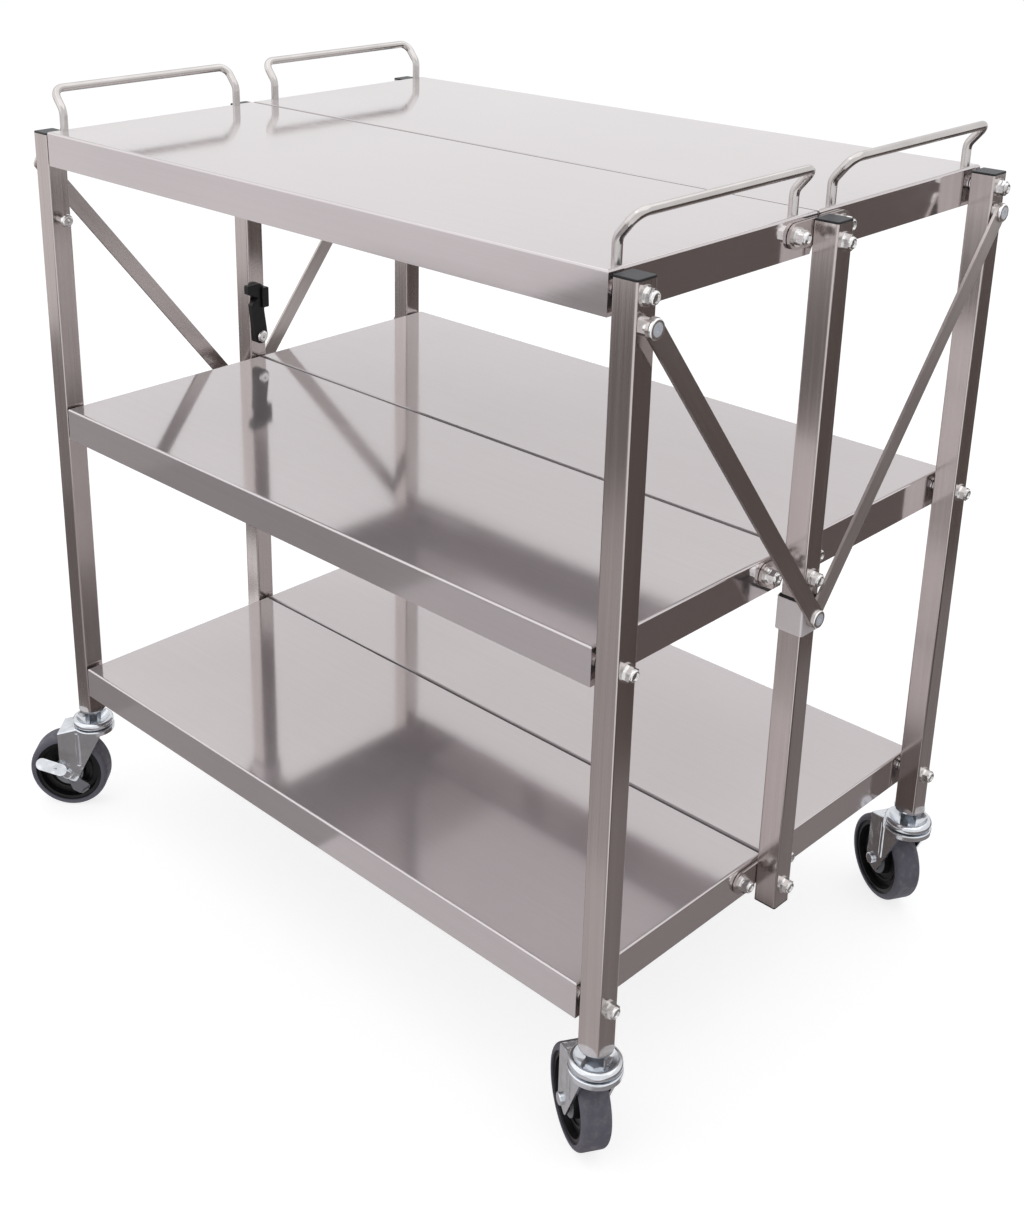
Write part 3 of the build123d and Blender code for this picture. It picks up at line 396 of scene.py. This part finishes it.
def black_plastic():
    """Black moulded nylon with a satin grain."""
    nylon = Finish("black_plastic", {"Specular IOR Level": 0.3})
    grain = nylon.speckle(0.0008)
    cloud = nylon.speckle(0.01, 3.0)
    colour = nylon.mix(NYLON_DARK, NYLON_TONE, cloud)
    return nylon.paint(colour, grain * 0.16 + 0.30, grain, PLASTIC_RELIEF)


def bar_steel(node):
    """Flat brace bar, brushed along its own length; the far bars are a little duller."""
    low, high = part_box(node)
    lean = atan2(high.y - low.y, high.z - low.z)
    far = "far" in node
    return brushed_steel(
        f"{node}_steel",
        TUBE_TONE,
        TUBE_DARK,
        FAR_BAR_DULL if far else NEAR_BAR_DULL,
        TUBE_VEIL,
        BAR_LINES,
        turn=(-lean if far else lean, 0, 0),
    )


def dress(node, material):
    """Give a CAD node its finish."""
    for slot in nodes[node].material_slots:
        slot.material = material


# Finishes that several pieces share
sheet = brushed_steel(
    "stainless_sheet",
    SHEET_TONE,
    SHEET_DARK,
    SHEET_DULL,
    SHEET_VEIL,
    SHEET_LINES,
    across_ends=SHEET_END_LINES,
    seam=MIDDLE.y,
    brush=FAINT_BRUSH,
)
plate = brushed_steel("hinge_plate_steel", TUBE_TONE, TUBE_DARK, PLATE_DULL, TUBE_VEIL, ACROSS_LINES)
tube = brushed_steel("stainless_tube", TUBE_TONE, TUBE_DARK, TUBE_DULL, TUBE_VEIL, POST_LINES)
folded = brushed_steel("sleeve_steel", SLEEVE_TONE, SHEET_TONE, SLEEVE_DULL, SLEEVE_VEIL, ACROSS_LINES)
rod = polished_rod()
fastener = bright_fastener()
zinc = zinc_plate("zinc_plate")
caps = cap_plastic()
nylon = black_plastic()

for node in nodes:
    if node.endswith("_tray"):
        dress(node, sheet)
    elif node == "hinge_plates":
        dress(node, plate)
    elif node.endswith("_post"):
        dress(node, tube)
    elif node.endswith("_brace"):
        dress(node, bar_steel(node))
    elif node == "sleeves":
        dress(node, folded)
    elif node.endswith("_handles"):
        dress(node, rod)
    elif node.endswith("_brace_pivots") or node == "brace_pins":
        dress(node, brace_head(node))
    elif node.endswith("_caps"):
        dress(node, caps)
    elif node in ("latch", "sleeve_liners"):
        dress(node, nylon)
    elif "lever" in node:
        dress(node, zinc_plate(f"{node}_zinc", node.removesuffix("_brake_lever")))
    elif node.endswith("_tyre"):
        dress(node, grey_tyre(node.removesuffix("_tyre")))
    elif node.endswith("_wheel_core"):
        dress(node, black_core(node.removesuffix("_wheel_core")))
    elif "caster" in node or "inserts" in node:
        dress(node, zinc)
    else:
        dress(node, fastener)

# Studio: the floor, the light that comes from all round, and two lamps, in metres and watts
FLOOR_SIZE = 60
FLOOR_PLAIN = (0.8, 0.8, 0.8)
FLOOR_SEEN = (0.40, 0.40, 0.40)
FLOOR_GLOW = 0.78
WHITE = (1.0, 1.0, 1.0)
AMBIENT = (0.545, 0.55, 0.575)
LAMP_AIM = (0, 0, 0.5)
KEY_PLACE = (-1.6, -2.6, 3.0)
KEY_SIZE = 5.4
KEY_POWER = 34
TOP_PLACE = (0.3, 0.4, 3.4)
TOP_SIZE = 4.6
TOP_POWER = 34


def studio_floor():
    """A plain pale floor that keeps the shadow."""
    bpy.ops.object.select_all(action="DESELECT")
    bpy.ops.mesh.primitive_plane_add(size=FLOOR_SIZE)
    floor = bpy.context.object
    floor.name = "floor"
    material = bpy.data.materials.new("floor")
    material.use_nodes = True
    tree = Nodes(material.node_tree)
    plain = tree.add("BsdfDiffuse", None, {"Color": FLOOR_PLAIN})
    shaded = tree.add("BsdfDiffuse", None, {"Color": FLOOR_SEEN})
    glow = tree.add("Emission", None, {"Color": WHITE, "Strength": FLOOR_GLOW})
    pale = tree.add("AddShader", None, {0: glow, 1: shaded})
    both = tree.add("MixShader", None, {0: tree.seen(), 1: plain, 2: pale})
    tree.join(both, material.node_tree.nodes["Material Output"].inputs["Surface"])
    floor.data.materials.append(material)


def studio_world():
    """White where it is seen, and a softer, cooler level as light."""
    world = bpy.data.worlds.new("studio")
    world.use_nodes = True
    bpy.context.scene.world = world
    tree = Nodes(world.node_tree)
    colour = tree.mix(AMBIENT, WHITE, tree.seen())
    tree.join(colour, world.node_tree.nodes["Background"].inputs["Color"])


def soft_lamp(name, place, size, power):
    """A lamp so large and soft that its mirror image does not clip."""
    lamp = bpy.data.lights.new(name, "AREA")
    lamp.shape = "SQUARE"
    lamp.size = size
    lamp.energy = power
    holder = bpy.data.objects.new(name, lamp)
    bpy.context.scene.collection.objects.link(holder)
    holder.location = MIDDLE + Vector(place)
    holder.rotation_euler = (Vector(LAMP_AIM) - Vector(place)).to_track_quat("-Z", "Y").to_euler()


def reflection_shade_mat(name, low, high, shade, height):
    """A plain glowing mat on the floor that only the metal's reflections show: a painted reflection of
    darker surroundings.
    """
    bpy.ops.object.select_all(action="DESELECT")
    middle = ((low[0] + high[0]) / 2, (low[1] + high[1]) / 2, height)
    bpy.ops.mesh.primitive_plane_add(size=1, location=MIDDLE + Vector(middle))
    mat = bpy.context.object
    mat.name = name
    mat.scale = (high[0] - low[0], high[1] - low[1], 1)
    material = bpy.data.materials.new(name)
    material.use_nodes = True
    tree = Nodes(material.node_tree)
    glow = tree.add("Emission", None, {"Color": shade, "Strength": 1.0})
    tree.join(glow, material.node_tree.nodes["Material Output"].inputs["Surface"])
    mat.data.materials.append(material)
    mat.visible_camera = False
    mat.visible_diffuse = False
    mat.visible_shadow = False


studio_floor()
studio_world()
soft_lamp("key_lamp", KEY_PLACE, KEY_SIZE, KEY_POWER)
soft_lamp("top_lamp", TOP_PLACE, TOP_SIZE, TOP_POWER)

# Mats on the floor that paint darker reflections into the metal, and painted shade under the trolley:
# each one's low and high corner from the trolley's middle, and its shade
DARK_SHADE = (0.115, 0.092, 0.084)
LOW_SHADE = (0.17, 0.15, 0.145)
DIM_SHADE = (0.26, 0.235, 0.23)
HALF_SHADE = (0.46, 0.43, 0.43)
FAIR_SHADE = (0.62, 0.59, 0.59)
PALE_SHADE = (0.86, 0.83, 0.83)
MAT_HEIGHT = 0.001
PALE_MAT_HEIGHT = 0.0005
REFLECTION_SHADE_MATS = (
    ("front_mat", (0.85, -0.4), (3.4, 4.4), DARK_SHADE),
    ("front_close_mat", (0.46, -0.4), (0.85, 4.4), DIM_SHADE),
    ("rear_mat", (-3.4, -0.3), (-0.88, 1.2), DARK_SHADE),
    ("rear_close_mat", (-0.88, -0.3), (-0.74, 1.2), HALF_SHADE),
    ("far_rear_mat", (-3.4, 1.2), (-1.7, 4.4), DARK_SHADE),
    ("far_rear_close_mat", (-1.7, 1.2), (-1.42, 4.4), HALF_SHADE),
    ("near_left_mat", (-2.2, -2.4), (-1.3, -0.43), DIM_SHADE),
    ("near_middle_mat", (-1.3, -2.4), (-0.58, -0.40), LOW_SHADE),
    ("near_deep_mat", (-1.58, -2.95), (-0.58, -2.4), LOW_SHADE),
    ("near_right_mat", (-0.58, -2.4), (0.62, -0.66), HALF_SHADE),
    ("near_close_left_mat", (-0.58, -0.66), (-0.14, -0.37), DIM_SHADE),
    ("near_close_right_mat", (-0.14, -0.66), (0.62, -0.37), FAIR_SHADE),
    ("wheel_mat", (-0.38, -0.37), (0.62, -0.2), HALF_SHADE),
    # Painted shade: a dark mat where the trolley shades the floor, shown only in reflections
    ("under_mat", (-0.38, -0.2), (0.37, 0.28), DARK_SHADE),
    ("far_mat", (-0.25, 0.48), (0.46, 2.7), LOW_SHADE),
)
for name, low, high, shade in REFLECTION_SHADE_MATS:
    reflection_shade_mat(name, low, high, shade, MAT_HEIGHT)
reflection_shade_mat("near_pale_mat", (-6.0, -4.5), (0.62, -0.66), PALE_SHADE, PALE_MAT_HEIGHT)

# Camera, for a picture of 1024 by 1207
PICTURE_LONG_SIDE = 1207
SENSOR_WIDTH = 36
FOCAL_PIXELS = 1618.68
CAMERA_PLACE = (1.1605, -1.2328, 1.2030)
LOOK_RIGHT = (0.687452, 0.726229, -0.001300)
LOOK_DOWN = (0.247613, -0.236075, -0.939658)
LOOK_FORWARD = (-0.682713, 0.645647, -0.342114)
SHIFT_PIXELS = (115, -200)

lens = bpy.data.cameras.new("camera")
lens.sensor_width = SENSOR_WIDTH
lens.lens = FOCAL_PIXELS / PICTURE_LONG_SIDE * SENSOR_WIDTH
lens.shift_x = SHIFT_PIXELS[0] / PICTURE_LONG_SIDE
lens.shift_y = SHIFT_PIXELS[1] / PICTURE_LONG_SIDE
camera = bpy.data.objects.new("camera", lens)
bpy.context.scene.collection.objects.link(camera)
axes = Matrix((Vector(LOOK_RIGHT), -Vector(LOOK_DOWN), -Vector(LOOK_FORWARD))).transposed()
camera.matrix_world = Matrix.Translation(MIDDLE + Vector(CAMERA_PLACE)) @ axes.to_4x4()
bpy.context.scene.camera = camera
bpy.context.scene.view_settings.view_transform = "Standard"
